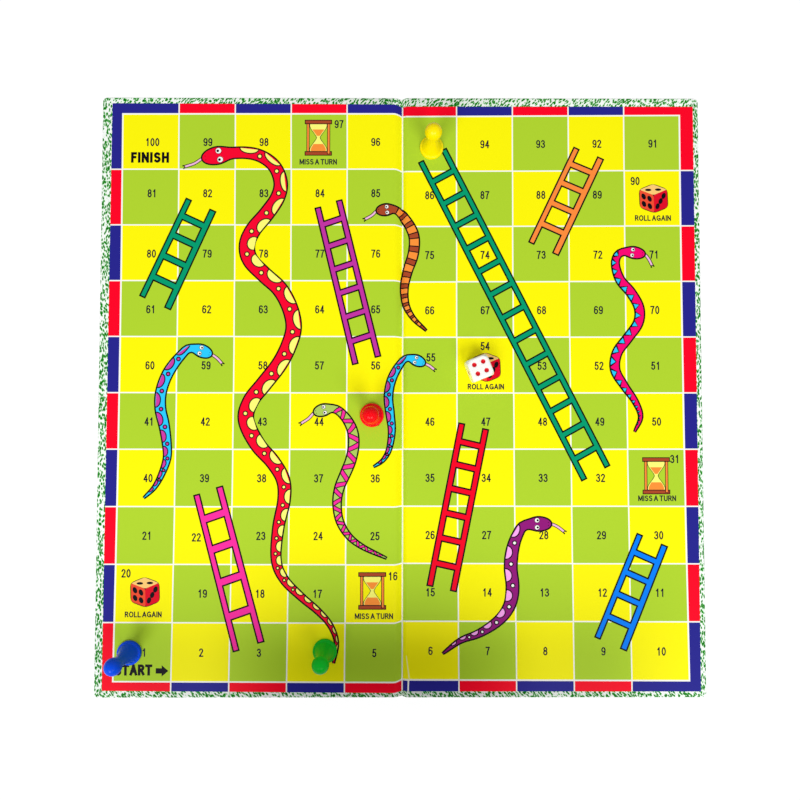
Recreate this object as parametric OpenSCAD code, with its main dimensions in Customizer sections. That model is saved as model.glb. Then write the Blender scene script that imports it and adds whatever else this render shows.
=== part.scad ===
// Folding snakes and ladders board with its four playing pawns and its die.
// Lengths are in millimetres. The open board lies flat: X runs left to right, Y runs from
// the start row up to the finish row, and Z points up from the table.
// The board is two stiff boards wrapped in speckled cover paper, joined by a strip of the
// same paper along the fold, with a printed sheet pasted on the front of each.

/* [Board] */
// Width of the open board, left edge to right edge
board_width = 330; // [200:1:500]
// Depth of the open board, start edge to finish edge
board_depth = 328; // [200:1:500]
// Radius of the four outer corners
corner_radius = 2.5; // [0.5:0.1:8]

/* [Layers] */
// Thickness of the speckled cover paper
cover_thickness = 0.3; // [0.1:0.05:0.8]
// Thickness of the stiff board inside
core_thickness = 2.4; // [1:0.1:5]
// Thickness of the printed sheet with its gloss film
sheet_thickness = 0.3; // [0.1:0.05:0.8]
// How far the cover paper is turned in over the front
turn_in = 14; // [6:1:30]

/* [Fold] */
// Gap left between the printed faces when the board is closed
closed_gap = 0.6; // [0.2:0.1:4]
// Gap between a fold line and the edge of the stiff board beside it
core_setback = 0.4; // [0.1:0.05:1]
// Where the lowest line of the printed valley lies, right of the spine's middle
valley_offset = 0.8; // [0:0.1:2]

/* [Printed sheet margins] */
// Bare cover left of the sheet, at the finish edge
left_margin_top = 5.5; // [0:0.1:12]
// Bare cover left of the sheet, at the start edge
left_margin_bottom = 4.4; // [0:0.1:12]
// Bare cover right of the sheet
right_margin = 3.1; // [0:0.1:12]
// Bare cover above the left sheet, at its outer corner
top_margin_left = 3.5; // [0:0.1:12]
// Bare cover above the left sheet, beside the fold
top_margin_left_fold = 3.9; // [0:0.1:12]
// Bare cover above the right sheet, beside the fold
top_margin_right_fold = 5.1; // [0:0.1:12]
// Bare cover above the right sheet, at its outer corner
top_margin_right = 4.9; // [0:0.1:12]
// Bare cover below the left sheet, at its outer corner
bottom_margin_left = 3.9; // [0:0.1:12]
// Bare cover below the left sheet, beside the fold
bottom_margin_left_fold = 2.6; // [0:0.1:12]
// Bare cover below the right sheet, beside the fold
bottom_margin_right_fold = 3.5; // [0:0.1:12]
// Bare cover below the right sheet, at its outer corner
bottom_margin_right = 3.3; // [0:0.1:12]

/* [Pawns] */
// Diameter of a pawn's foot
pawn_foot = 13; // [8:0.5:25]
// Height of the straight rim of the foot
pawn_rim = 1; // [0.5:0.1:3]
// Radius that rounds the foot over into the body
pawn_rounding = 1; // [0.2:0.1:2]
// Diameter of the neck
pawn_neck = 5.8; // [3:0.1:10]
// Height of the neck
pawn_neck_height = 14.6; // [8:0.1:20]
// Diameter of the ball on top
pawn_ball = 9; // [5:0.1:15]
// Height of a whole pawn
pawn_height = 24; // [15:0.5:40]
// Wall thickness of the hollow body
pawn_wall = 1.3; // [0.8:0.1:3]
// Height of the hollow inside the body
pawn_hollow_height = 11; // [0:0.5:14]
// Place of the yellow pawn, as shares of half the board's width and depth
yellow_place_shares = [0.103, 0.827];
// Place of the red pawn, as shares of half the board's width and depth
red_place_shares = [-0.095, -0.073];
// Place of the blue pawn, as shares of half the board's width and depth
blue_place_shares = [-0.884, -0.852];
// Place of the green pawn, as shares of half the board's width and depth
green_place_shares = [-0.247, -0.847];

/* [Die] */
// Length of the die's sides
die_side = 12; // [8:0.5:25]
// Radius of the die's rounded edges
die_edge_radius = 1; // [0.2:0.1:3]
// Diameter that the die's corners are rounded to
die_corner_ball = 17.6; // [14:0.1:22]
// Diameter of a spot on the die
pip_width = 2.5; // [1:0.1:5]
// Depth that the spots are sunk into the die
pip_depth = 0.6; // [0.2:0.05:1.5]
// Thickness of the red paint in each spot
pip_paint = 0.2; // [0.05:0.05:0.5]
// Distance from a face's middle to its outer spots, sideways
pip_spacing = 2.5; // [1:0.1:5]
// The same distance along the two rows of three on the six
six_spacing = 2.9; // [1:0.1:5]
// Place of the die, as shares of half the board's width and depth
die_place_shares = [0.255, 0.08];
// Turn of the die on the board, in degrees
die_turn = 21.8; // [-180:0.1:180]

/* [Display] */
// Which part to draw: a name from the list below, or all of them

/* [Hidden] */
// The separate parts, one STEP file each

// Smoothness of round outlines
$fn = 72;
// Small overlap that lets a cutting shape run past the face it opens
past = 1;
// A paint spot is this much narrower than the hollow it sits in
paint_gap = 0.04;
// Gap between the printed valley and the folded-back paper under it
valley_clearance = 0.04;
// One half, for middles
half_share = 0.5;

// Heights of the layers above the table
core_bottom = cover_thickness;
front = cover_thickness + core_thickness;
turn_in_bottom = front - cover_thickness;
top = front + sheet_thickness;

// Width of the spine, between the two fold lines: the closed halves lie face to face on it,
// each as thick as its board and printed sheet.
spine_width = core_thickness + sheet_thickness + core_thickness + sheet_thickness + closed_gap;

// The doubled paper at the head and tail of the spine reaches this high
spine_fold_top = cover_thickness + cover_thickness;
// Underside of the printed valley at its lowest line
valley_floor = spine_fold_top + valley_clearance;

half_width = board_width * half_share;
half_depth = board_depth * half_share;
half_spine = spine_width * half_share;
core_edge = half_spine + core_setback;

paper_green = [0.62, 0.80, 0.60];
board_grey = [0.66, 0.63, 0.57];
print_green = [0.62, 0.80, 0.15];
print_yellow = [0.98, 0.93, 0.05];

// Outline of one half of the board, its outer corners rounded and its fold side square.
// It is drawn for the left half: from the outer edge at -x_out to the fold side at -x_in.
module half_outline(x_out, x_in, y_half, r) {
    translate([-x_out + r, -y_half])
        square([x_out - x_in - r, y_half + y_half]);
    translate([-x_out, -y_half + r])
        square([r + r, y_half + y_half - r - r]);
    for (side = [-y_half + r, y_half - r])
        translate([-x_out + r, side])
            circle(r = r);
}

// The stiff board of the left half, with its front rim lowered where the paper is turned in.
module left_board() {
    difference() {
        translate([0, 0, core_bottom])
            linear_extrude(height = core_thickness)
                half_outline(half_width - cover_thickness, core_edge,
                             half_depth - cover_thickness, corner_radius - cover_thickness);
        translate([0, 0, turn_in_bottom])
            linear_extrude(height = cover_thickness + past)
                difference() {
                    translate([-half_width - past, -half_depth - past])
                        square([half_width + past, board_depth + past + past]);
                    translate([-half_width + turn_in, -half_depth + turn_in])
                        square([half_width, board_depth - turn_in - turn_in]);
                }
    }
}

// The cover paper of the left half: the back, the three wrapped edges and the turned-in flaps.
module left_paper() {
    difference() {
        linear_extrude(height = front)
            half_outline(half_width, core_edge, half_depth, corner_radius);
        translate([0, 0, core_bottom])
            linear_extrude(height = core_thickness - cover_thickness)
                half_outline(half_width - cover_thickness, core_edge - past,
                             half_depth - cover_thickness, corner_radius - cover_thickness);
        translate([-half_width + turn_in, -half_depth + turn_in, core_bottom])
            cube([half_width, board_depth - turn_in - turn_in, core_thickness + past]);
    }
    translate([-core_edge - past, -half_depth, 0])
        cube([core_edge + past - half_spine, board_depth, cover_thickness]);
}

// Plan of the whole printed sheet, pasted a little askew on the board.
module sheet_plan() {
    polygon([
        [-half_width + left_margin_top, half_depth - top_margin_left],
        [-core_edge, half_depth - top_margin_left_fold],
        [core_edge, half_depth - top_margin_right_fold],
        [half_width - right_margin, half_depth - top_margin_right],
        [half_width - right_margin, -half_depth + bottom_margin_right],
        [core_edge, -half_depth + bottom_margin_right_fold],
        [-core_edge, -half_depth + bottom_margin_left_fold],
        [-half_width + left_margin_bottom, -half_depth + bottom_margin_left]
    ]);
}

// A flat stretch of the printed sheet, between two places along the width.
module sheet_between(x_from, x_to) {
    translate([0, 0, front])
        linear_extrude(height = sheet_thickness)
            intersection() {
                sheet_plan();
                translate([x_from, -half_depth])
                    square([x_to - x_from, board_depth]);
            }
}

// The printed sheet pressed into the fold: it slopes from the front at x_edge down to the
// lowest line of the valley.
module valley_slope(x_edge) {
    intersection() {
        translate([0, half_depth, 0])
            rotate([90, 0, 0])
                linear_extrude(height = board_depth)
                    polygon([
                        [x_edge, front], [x_edge, top],
                        [valley_offset, valley_floor + sheet_thickness],
                        [valley_offset, valley_floor]
                    ]);
        linear_extrude(height = top + past)
            sheet_plan();
    }
}

// Half-section of the pawn's flared body, drawn in by the given amount for the hollow. The
// flank is one arc that stands upright at the neck and meets the foot's rounded shoulder.
module pawn_flank(inset, height) {
    foot_r = pawn_foot * half_share;
    neck_r = pawn_neck * half_share;
    run = foot_r - pawn_rounding - neck_r;
    rise = pawn_neck_height - pawn_rim - pawn_rounding;
    arc_r = (run * run + rise * rise) / (run + run);
    difference() {
        square([foot_r - inset, height]);
        translate([neck_r + arc_r, pawn_neck_height])
            circle(r = arc_r + inset);
    }
}

// Half-section of the pawn's foot, its upper edge rounded over.
module pawn_foot_section() {
    foot_r = pawn_foot * half_share;
    square([foot_r, pawn_rim]);
    square([foot_r - pawn_rounding, pawn_rim + pawn_rounding]);
    translate([foot_r - pawn_rounding, pawn_rim])
        circle(r = pawn_rounding);
}

// One pawn: a foot, a flared body hollow from below, a neck and a ball. Its place is given
// as shares of half the board's width and depth.
module pawn(shares) {
    ball_height = pawn_height - pawn_ball * half_share;
    neck_r = pawn_neck * half_share;
    translate([shares[0] * half_width, shares[1] * half_depth, top])
        difference() {
            union() {
                rotate_extrude() {
                    pawn_flank(0, pawn_neck_height);
                    intersection() {
                        pawn_foot_section();
                        square([pawn_foot, pawn_foot]);
                    }
                }
                cylinder(h = ball_height, r = neck_r);
                translate([0, 0, ball_height])
                    sphere(d = pawn_ball);
            }
            rotate_extrude()
                pawn_flank(pawn_wall, pawn_hollow_height);
            translate([0, 0, -past])
                cylinder(h = past + pawn_rim, r = pawn_foot * half_share - pawn_wall);
        }
}

// A square with rounded corners, centred.
module rounded_square(side, r) {
    square([side - r - r, side], center = true);
    square([side, side - r - r], center = true);
    for (x = [-side * half_share + r, side * half_share - r])
        for (y = [-side * half_share + r, side * half_share - r])
            translate([x, y])
                circle(r = r);
}

// A bar as long as the die, with the die's rounded outline.
module die_bar() {
    linear_extrude(height = die_side, center = true)
        rounded_square(die_side, die_edge_radius);
}

// The spots of one face, drawn upwards from the given height. Spots are given as places
// on a grid of three by three, counted in steps of the spot spacing.
module spots(grid, from, thickness, width) {
    for (spot = grid)
        translate([spot[0] * pip_spacing, spot[1] * pip_spacing, from])
            cylinder(h = thickness, d = width);
}

// All six faces' spots, each face turned to its side of the die. Opposite faces add to seven.
module all_spots(from, thickness, width) {
    one = [[0, 0]];
    two = [[-1, -1], [1, 1]];
    three = concat(one, two);
    four = concat(two, [[-1, 1], [1, -1]]);
    five = concat(one, four);
    reach = six_spacing / pip_spacing;
    six = [[-1, -reach], [-1, 0], [-1, reach], [1, -reach], [1, 0], [1, reach]];
    spots(four, from, thickness, width);
    rotate([180, 0, 0]) spots(three, from, thickness, width);
    rotate([90, 0, 0]) spots(five, from, thickness, width);
    rotate([-90, 0, 0]) spots(two, from, thickness, width);
    rotate([0, 90, 0]) spots(six, from, thickness, width);
    rotate([0, -90, 0]) spots(one, from, thickness, width);
}

// Carries a shape from the die's middle to its place on the board.
module at_die() {
    translate([die_place_shares[0] * half_width, die_place_shares[1] * half_depth,
               top + die_side * half_share])
        rotate([0, 0, die_turn])
            children();
}

// The stiff board inside the left half
module left_core() {
    color(board_grey) left_board();
}

// The stiff board inside the right half
module right_core() {
    color(board_grey) mirror([1, 0, 0]) left_board();
}

// The speckled cover paper around the left half
module left_cover() {
    color(paper_green) left_paper();
}

// The speckled cover paper around the right half
module right_cover() {
    color(paper_green) mirror([1, 0, 0]) left_paper();
}

// The strip of cover paper that joins the halves, its ends folded back inside
module spine_cover() {
    color(paper_green) {
        translate([-half_spine, -half_depth, 0])
            cube([spine_width, board_depth, cover_thickness]);
        for (end = [-half_depth, half_depth - turn_in])
            translate([-half_spine, end, 0])
                cube([spine_width, turn_in, spine_fold_top]);
    }
}

// The printed sheet on the left half
module left_sheet() {
    color(print_yellow) sheet_between(-half_width, -core_edge);
}

// The printed sheet on the right half
module right_sheet() {
    color(print_green) sheet_between(core_edge, half_width);
}

// The printed sheet's slope into the fold, on the left
module crease_left() {
    color(print_yellow) valley_slope(-core_edge);
}

// The printed sheet's slope into the fold, on the right
module crease_right() {
    color(print_green) valley_slope(core_edge);
}

// The yellow playing pawn
module yellow_pawn() {
    color([0.98, 0.84, 0.05]) pawn(yellow_place_shares);
}

// The red playing pawn
module red_pawn() {
    color([0.85, 0.05, 0.05]) pawn(red_place_shares);
}

// The blue playing pawn
module blue_pawn() {
    color([0.05, 0.20, 0.75]) pawn(blue_place_shares);
}

// The green playing pawn
module green_pawn() {
    color([0.10, 0.55, 0.15]) pawn(green_place_shares);
}

// The white die, its spots sunk in
module die() {
    color([0.96, 0.96, 0.94])
        at_die()
            difference() {
                intersection() {
                    die_bar();
                    rotate([90, 0, 0]) die_bar();
                    rotate([0, 90, 0]) die_bar();
                    sphere(d = die_corner_ball);
                }
                all_spots(die_side * half_share - pip_depth, pip_depth + past, pip_width);
            }
}

// The red paint in the die's spots
module die_pips() {
    color([0.85, 0.05, 0.10])
        at_die()
            all_spots(die_side * half_share - pip_depth, pip_paint, pip_width - paint_gap);
}

left_core();
right_core();
left_cover();
right_cover();
spine_cover();
left_sheet();
right_sheet();
crease_left();
crease_right();
yellow_pawn();
red_pawn();
blue_pawn();
green_pawn();
die();
die_pips();
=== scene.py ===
# %% [markdown]
# # A folding snakes and ladders board
# The real board is two stiff grey boards wrapped in speckled cover paper, with a printed and varnished
# sheet glued on top. Four hollow plastic pawns and a small die stand on it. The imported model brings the
# sizes, the joints and the plain solids, and this notebook makes the surfaces that are seen.

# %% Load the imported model
import math
import bmesh
import bpy
import numpy as np
from mathutils import Euler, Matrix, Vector
from mathutils.geometry import delaunay_2d_cdt


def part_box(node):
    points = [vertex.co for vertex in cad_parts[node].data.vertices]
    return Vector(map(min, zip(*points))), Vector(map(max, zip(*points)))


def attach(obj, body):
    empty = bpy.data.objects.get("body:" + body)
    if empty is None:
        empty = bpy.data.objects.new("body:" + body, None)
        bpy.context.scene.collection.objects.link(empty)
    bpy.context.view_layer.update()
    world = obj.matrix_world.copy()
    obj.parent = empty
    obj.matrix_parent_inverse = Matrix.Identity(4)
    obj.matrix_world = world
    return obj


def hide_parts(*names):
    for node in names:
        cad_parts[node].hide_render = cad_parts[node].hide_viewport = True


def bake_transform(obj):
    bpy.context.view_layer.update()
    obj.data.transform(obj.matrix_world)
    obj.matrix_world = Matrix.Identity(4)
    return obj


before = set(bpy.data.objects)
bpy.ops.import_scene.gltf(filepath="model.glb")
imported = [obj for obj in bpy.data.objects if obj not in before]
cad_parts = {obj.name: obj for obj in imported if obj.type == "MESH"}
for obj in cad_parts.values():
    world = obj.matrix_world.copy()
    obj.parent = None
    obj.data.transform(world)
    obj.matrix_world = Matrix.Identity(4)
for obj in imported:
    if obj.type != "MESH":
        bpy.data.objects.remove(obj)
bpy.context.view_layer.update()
mm = 0.001
scene = bpy.context.scene

# %% [markdown]
# ## Helpers
# Everything in the scene is either an object made from arrays or a node with some inputs. A few short
# helpers for the two keep the later cells to what is particular about each piece.

# %% Helpers for objects and nodes
def into_scene(name, data):
    """A new object that holds this data."""
    made = bpy.data.objects.new(name, data)
    scene.collection.objects.link(made)
    return made


def into_blender(name, points, faces, smooth=False):
    """A new object from arrays: points in millimetres, faces as lists of point numbers."""
    mesh = bpy.data.meshes.new(name)
    metres = (np.asarray(points, float) * mm).tolist()
    mesh.from_pydata(metres, [], [list(map(int, face)) for face in faces])
    mesh.polygons.foreach_set("use_smooth", np.full(len(mesh.polygons), smooth))
    mesh.update()
    return into_scene(name, mesh)


def feed(node, inputs):
    """Sets a node's inputs: a socket is linked, and anything else becomes the input's own value."""
    for name, value in inputs.items():
        if isinstance(value, bpy.types.NodeSocket):
            node.id_data.links.new(value, node.inputs[name])
        else:
            node.inputs[name].default_value = value
    return node


def add_node(tree, kind, inputs, **settings):
    """A new node of this kind, with its settings and inputs."""
    made = tree.nodes.new("ShaderNode" + kind)
    for name, value in settings.items():
        setattr(made, name, value)
    return feed(made, inputs)


def calculate(tree, operation, *values, kind="Math"):
    """The result socket of one calculation on sockets or numbers."""
    return add_node(tree, kind, dict(enumerate(values)), operation=operation).outputs[0]


def new_finish(name, inputs):
    """A new material whose shader has these inputs."""
    made = bpy.data.materials.new(name)
    made.use_nodes = True
    feed(made.node_tree.nodes["Principled BSDF"], inputs)
    return made


print("helpers: objects from arrays, nodes from their inputs")

# %% [markdown]
# ## Camera first
# The photograph looks almost straight down from 34 cm. Only a camera at that height shows the sides of
# the pawns near the corners as the photograph does, so its place is set before anything is drawn.

# %% Set the camera
camera_place = Vector((-1.29, -14.11, 341.26)) * mm
camera_turn = Euler([math.radians(angle) for angle in (1.7686, -0.1581, 0.0252)])
picture_side = 800
focal_length_in_pixels = 620
sensor_width = 36

camera_data = bpy.data.cameras.new("camera")
camera_data.sensor_width = sensor_width
camera_data.lens = sensor_width * focal_length_in_pixels / picture_side
camera_data.clip_start = 0.01
camera = into_scene("camera", camera_data)
camera.location = camera_place
camera.rotation_euler = camera_turn
scene.camera = camera
print("lens:", round(camera_data.lens, 2), "mm, height:", round(camera_place.z, 3), "m")

# %% [markdown]
# ## Light and table
# In the photograph light comes from two windows on the near side, left and right, so each pawn throws
# two faint shadows towards the finish row. The rest of the light comes evenly from all round. The
# background is white to the camera alone: the Light Path node tells those rays apart, so that this
# white doesn't add light to the board.

# %% Light the board
shade_of_the_room = 0.43
windows = {"left_window": ((-0.62, -1.13, 1.4), 16.2), "right_window": ((0.58, -1.13, 1.4), 15.0)}
window_side = 0.75


def seen_directly(tree):
    """A socket that is 1 for rays from the camera, or after a mirror or glass, and else 0."""
    rays = add_node(tree, "LightPath", {}).outputs
    either = calculate(tree, "MAXIMUM", rays["Is Camera Ray"], rays["Is Glossy Ray"])
    return calculate(tree, "MAXIMUM", either, rays["Is Transmission Ray"])


scene.view_settings.view_transform = "Standard"
world = bpy.data.worlds.new("room")
world.use_nodes = True
scene.world = world
room = world.node_tree
strength = add_node(room, "Mix", {"Factor": seen_directly(room), "A": shade_of_the_room, "B": 1.0})
feed(room.nodes["Background"], {"Color": (1, 1, 1, 1), "Strength": strength.outputs["Result"]})

for name, (place, power) in windows.items():
    lamp = bpy.data.lights.new(name, "AREA")
    lamp.size = window_side
    lamp.energy = power
    window = into_scene(name, lamp)
    window.location = place
    window.rotation_euler = (-Vector(place)).to_track_quat("-Z", "Y").to_euler()
    print(name, round(Vector(place).length, 2), "m away")

# %% [markdown]
# ## Shade on the start row
# The middle of the start row lies in a soft shade, as from someone who leans over the table's near side.
# A narrow black card, low beside the board, throws the same shade. Like a photographer's flag it is only
# stage equipment, and the camera doesn't see it.

# %% Hold a dark card beside the start row
card_sides = (-115, 85)
card_reach = (-245, -185)
card_height = 100
card_black = 0.01

card_corners = [(card_sides[i], card_reach[j], card_height) for i, j in ((0, 0), (1, 0), (1, 1), (0, 1))]
card = into_blender("dark_card", card_corners, [(0, 1, 2, 3)])
card.data.materials.append(new_finish("dark_card", {"Base Color": (card_black, card_black, card_black, 1),
                                                    "Specular IOR Level": 0.0}))
card.visible_camera = False
print("card:", card_sides[1] - card_sides[0], "mm wide,", card_height, "mm up, hidden from the camera")

# %% [markdown]
# ## Table
# The photograph's ground is pure white with faint shadows. A grey table that also glows to the camera
# gives both, where a brightly lit white one would throw its light back onto the board's rim.

# %% Lay the table
table_reach = 4000
table_drop = 0.02
table_grey = 0.1
table_glow = 0.94

table_paint = new_finish("table", {"Base Color": (table_grey, table_grey, table_grey, 1), "Roughness": 0.9,
                                   "Specular IOR Level": 0.0, "Emission Color": (1, 1, 1, 1)})
glow = calculate(table_paint.node_tree, "MULTIPLY", seen_directly(table_paint.node_tree), table_glow)
feed(table_paint.node_tree.nodes["Principled BSDF"], {"Emission Strength": glow})
corner_signs = ((-1, -1), (1, -1), (1, 1), (-1, 1))
table_corners = [(x * table_reach, y * table_reach, -table_drop) for x, y in corner_signs]
table = into_blender("table", table_corners, [(0, 1, 2, 3)])
table.data.materials.append(table_paint)
print("table:", 2 * table_reach * mm, "m wide")

# %% [markdown]
# ## Finishes
# Printing ink, cover paper, greyboard and moulded plastic differ in their fine grain as much as in their
# colour. Each finish starts from one helper that adds grain to the roughness and to the relief, read
# from Object coordinates, so that it stays in place on the piece and needs no picture.

# %% Helpers for finishes
roughness_swing = 0.06
grain_detail = 4


def from_screen(red, green, blue):
    """A colour as a screen shows it, 0 to 255, as the linear light that a shader expects."""
    share = np.array([red, green, blue]) / 255
    light = np.where(share <= 0.04045, share / 12.92, ((share + 0.055) / 1.055) ** 2.4)
    return (*light.tolist(), 1.0)


def grained_finish(name, colour, roughness, grain, relief, specular=0.5):
    """A finish whose roughness wanders a little and whose surface has a fine grain. grain is how many
    times the pattern repeats in a metre, and relief its height in metres."""
    made = new_finish(name, {"Base Color": colour, "Specular IOR Level": specular})
    tree = made.node_tree
    place = add_node(tree, "TexCoord", {}).outputs["Object"]
    noise = add_node(tree, "TexNoise", {"Vector": place, "Scale": grain, "Detail": grain_detail})
    noise = noise.outputs["Fac"]
    spread = add_node(tree, "MapRange", {"Value": noise, "To Min": roughness - roughness_swing,
                                         "To Max": roughness + roughness_swing})
    bump = add_node(tree, "Bump", {"Height": noise, "Distance": relief, "Strength": 1.0})
    shader = tree.nodes["Principled BSDF"]
    feed(shader, {"Roughness": spread.outputs["Result"], "Normal": bump.outputs["Normal"]})
    return made


print("a screen's mid grey is", round(from_screen(128, 128, 128)[0], 3), "in light")

# %% [markdown]
# ## Where things are on the sheet
# Everything printed is placed in squares, counted from the bottom left corner of the grid: u goes right
# and v goes up, and the border is one more step outside. The two halves of the sheet were glued a
# millimetre apart, as they often are, so `lay` bends the rows gently where they cross the fold.

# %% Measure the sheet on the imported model
def top_corners(node):
    """The corners of a flat node's upper face in millimetres, sorted by x and then by y."""
    points = np.array([vertex.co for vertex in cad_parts[node].data.vertices]) / mm
    upper = points[points[:, 2] > points[:, 2].max() - 0.01, :2]
    return np.unique(upper.round(3), axis=0)


left_corners = top_corners("left_sheet")
right_corners = top_corners("right_sheet")
sheet_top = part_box("left_sheet")[1].z / mm
paper = sheet_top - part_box("left_sheet")[0].z / mm
board_front = sheet_top - paper
valley_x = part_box("crease_left")[1].x / mm
valley_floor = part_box("crease_left")[0].z / mm + paper
hinge_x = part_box("spine_cover")[1].x / mm
board_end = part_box("crease_right")[1].x / mm
print("sheet", sheet_top, "mm up,", round(paper, 3), "thick, down to", round(valley_floor, 3), "at", valley_x)

# %% Lay squares on the sheet
squares = 10
fold_from = -4.1
fold_to = 3.9
grid_left = (-154.05, -153.62)
grid_right = (155.91, 154.96)
grid_fold = 0.75
lowest_row = (((-154, -155.37), (fold_from, -155.9)), ((fold_to, -154.5), (155, -155.06)))
highest_row = (((-154, 154.33), (fold_from, 154.7)), ((fold_to, 153.1), (155, 154.05)))


def ease(share):
    """Goes from 0 to 1 with level ends."""
    held = np.clip(share, 0, 1)
    return held * held * (3 - 2 * held)


def across_fold(x, left, right):
    """The height at x of a line that runs straight over each half, through that half's two points, and
    is eased from one straight into the other at the fold."""
    left_y, right_y = [a[1] + (b[1] - a[1]) * (x - a[0]) / (b[0] - a[0]) for a, b in (left, right)]
    share = ease((x - fold_from) / (fold_to - fold_from))
    return left_y * (1 - share) + right_y * share


def sheet_edge_y(x, side):
    """The height of the sheet's bottom edge (side 0) or top edge (side 1) at x."""
    return across_fold(x, left_corners[side::2], right_corners[side::2])


def lay(u, v):
    """Points of the sheet in millimetres for places in squares. A column's x slides from its foot to its
    head, a row's y follows the fold, and the border stretches from the grid to the sheet's edge."""
    u = np.asarray(u, float)
    v = np.asarray(v, float)
    up = np.clip(v, 0, squares) / squares
    half = squares / 2
    ends = (grid_left, grid_right, left_corners[:2, 0], right_corners[2:, 0])
    left, right, edge_left, edge_right = [foot + (head - foot) * up for foot, head in ends]
    x = np.where(u < half, left + (grid_fold - left) * np.clip(u, 0, half) / half,
                 grid_fold + (right - grid_fold) * (np.clip(u, half, squares) - half) / half)
    x = x + np.maximum(-u, 0) * (edge_left - left) + np.maximum(u - squares, 0) * (edge_right - right)
    low = across_fold(x, *lowest_row)
    high = across_fold(x, *highest_row)
    y = low + (high - low) * up
    y = y + np.maximum(-v, 0) * (sheet_edge_y(x, 0) - low)
    y = y + np.maximum(v - squares, 0) * (sheet_edge_y(x, 1) - high)
    return np.stack([x, y], -1)


bow_columns = (0, 2, 3, 4, 5, 6, 8, 10)
foot_shift = (-0.7, -0.3, -0.2, 0.0, 0.13, -0.35, -0.25, -0.1)
middle_shift = (1.1, 1.1, 1.0, 0.75, 0.25, -0.6, -0.6, -0.9)
bow_rows = (0, 1, 2, 4, 6, 7.5, 10)
row_shift = (0.1, 0.6, 0.8, 1.0, 0.6, 0.25, 0.2)
highest_bow = 6


def lay_square(u, v):
    """Like lay, for the squares and their numbers. Damp paste has stretched the paper: in the middle of
    the sheet its rows lie up to a millimetre higher, and its columns bow as a parabola of the height."""
    bow = 1 - ((np.clip(v, 0, squares) - highest_bow) / highest_bow) ** 2
    aside = np.interp(u, bow_columns, foot_shift) + bow * np.interp(u, bow_columns, middle_shift)
    return lay(u, v) + np.stack([aside, np.interp(v, bow_rows, row_shift)], -1)


side_of_square = float(np.linalg.norm(lay(3, 3) - lay(4, 3)))
print("a square is", round(side_of_square, 2), "mm; the grid starts at", lay(0, 0).round(2))

# %% [markdown]
# ## Inks
# The sheet is drawn as a printer would: flat inks, one over another, each a closed outline. The drawing
# is kept as a list, lowest ink first, and becomes a mesh only when it is whole. Edges then stay sharp at
# any distance, which a painted texture can't do.

# %% Mix the inks
inks = {
    "bare_paper": (252, 252, 246),
    "square_yellow": (255, 248, 6),
    "square_green": (177, 213, 48),
    "border_blue": (38, 36, 140),
    "border_red": (255, 0, 38),
    "number_navy": (18, 6, 44),
    "line_black": (6, 3, 12),
    "cream": (254, 252, 122),
    "snake_red": (249, 3, 48),
    "snake_sky": (44, 203, 252),
    "snake_purple": (206, 62, 166),
    "snake_brown": (170, 72, 40),
    "snake_orange": (253, 148, 58),
    "snake_lime": (173, 205, 95),
    "snake_pink": (252, 46, 163),
    "snake_rose": (250, 2, 116),
    "snake_plum": (146, 24, 122),
    "petal": (254, 170, 243),
    "tongue": (245, 190, 225),
    "ladder_teal": (0, 156, 110),
    "ladder_magenta": (194, 52, 163),
    "ladder_orange": (254, 141, 61),
    "ladder_pink": (252, 48, 161),
    "ladder_red": (245, 0, 38),
    "ladder_blue": (0, 130, 250),
    "die_peach": (255, 205, 120),
    "die_orange": (240, 80, 50),
    "die_red": (225, 10, 40),
    # pale ink for the second crease: its cracked varnish together with a painted highlight along its ridge
    "crease_sheen_and_wear": (255, 255, 170),
}
drawing = []


def print_ink(ink, outline):
    """Adds one closed outline in this ink, above all that is printed so far."""
    points = np.asarray(outline, float)
    turned = np.roll(points, -1, axis=0)
    area = np.sum(points[:, 0] * turned[:, 1] - turned[:, 0] * points[:, 1])
    drawing.append((ink, points if area > 0 else points[::-1]))


def lined(ink, line):
    """What to print for a shape with a black line round it: black and wider by line, then its ink."""
    return ("line_black", line), (ink, 0.0)


print(len(inks), "inks")

# %% [markdown]
# ## Squares and border
# White paper shows between the squares as thin lines, so each square is printed a little small. The
# squares and the border blocks beside the fold are cut finer, because their edges bend there.

# %% Print the squares and the border
line_half = 0.35 / side_of_square
frame_inside = 0.42 / side_of_square
border_width = float(lay(0, 5)[0] - lay(-1, 5)[0])
frame_outside = 0.45 / border_width
past_sheet = 1.2
fold_columns = (4, 5)
fold_steps = 20
border = ("border_red", "border_blue")
starts = np.arange(squares) + line_half
ends = np.arange(squares) + 1 - line_half
starts[0] = frame_inside
ends[-1] = squares - frame_inside


def patch(u0, v0, u1, v1, steps=1):
    """The outline of a block from (u0, v0) to (u1, v1) in squares, with its long sides in steps."""
    along = np.linspace(u0, u1, steps + 1)
    return np.vstack([lay_square(along, v0 + 0 * along), lay_square(along[::-1], v1 + 0 * along)])


for k in range(squares):
    steps = fold_steps if k in fold_columns else 1
    for row in range(squares):
        colour = "square_green" if (row + k) % 2 == 0 else "square_yellow"
        print_ink(colour, patch(starts[k], starts[row], ends[k], ends[row], steps))
    start = k + line_half if k else -past_sheet
    end = k + 1 - line_half if k < squares - 1 else squares + past_sheet
    above = squares + frame_outside
    print_ink(border[1 - k % 2], patch(start, above, end, squares + past_sheet, steps))
    print_ink(border[k % 2], patch(start, -past_sheet, end, -frame_outside, steps))
    print_ink(border[k % 2], patch(-past_sheet, start, -frame_outside, end))
    print_ink(border[1 - k % 2], patch(above, start, squares + past_sheet, end))
print(len(drawing), "blocks of ink")

# %% [markdown]
# ## Numbers and words
# The numbers are thin, narrow and plain. They are written here with a pen of one width: each figure is
# a few strokes, a stroke is straight or part of an oval, and its outline is the path moved half a pen
# width to both sides. The same pen, held heavier, writes START and FINISH.

# %% A pen
sharpest_turn = 1.2


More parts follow.
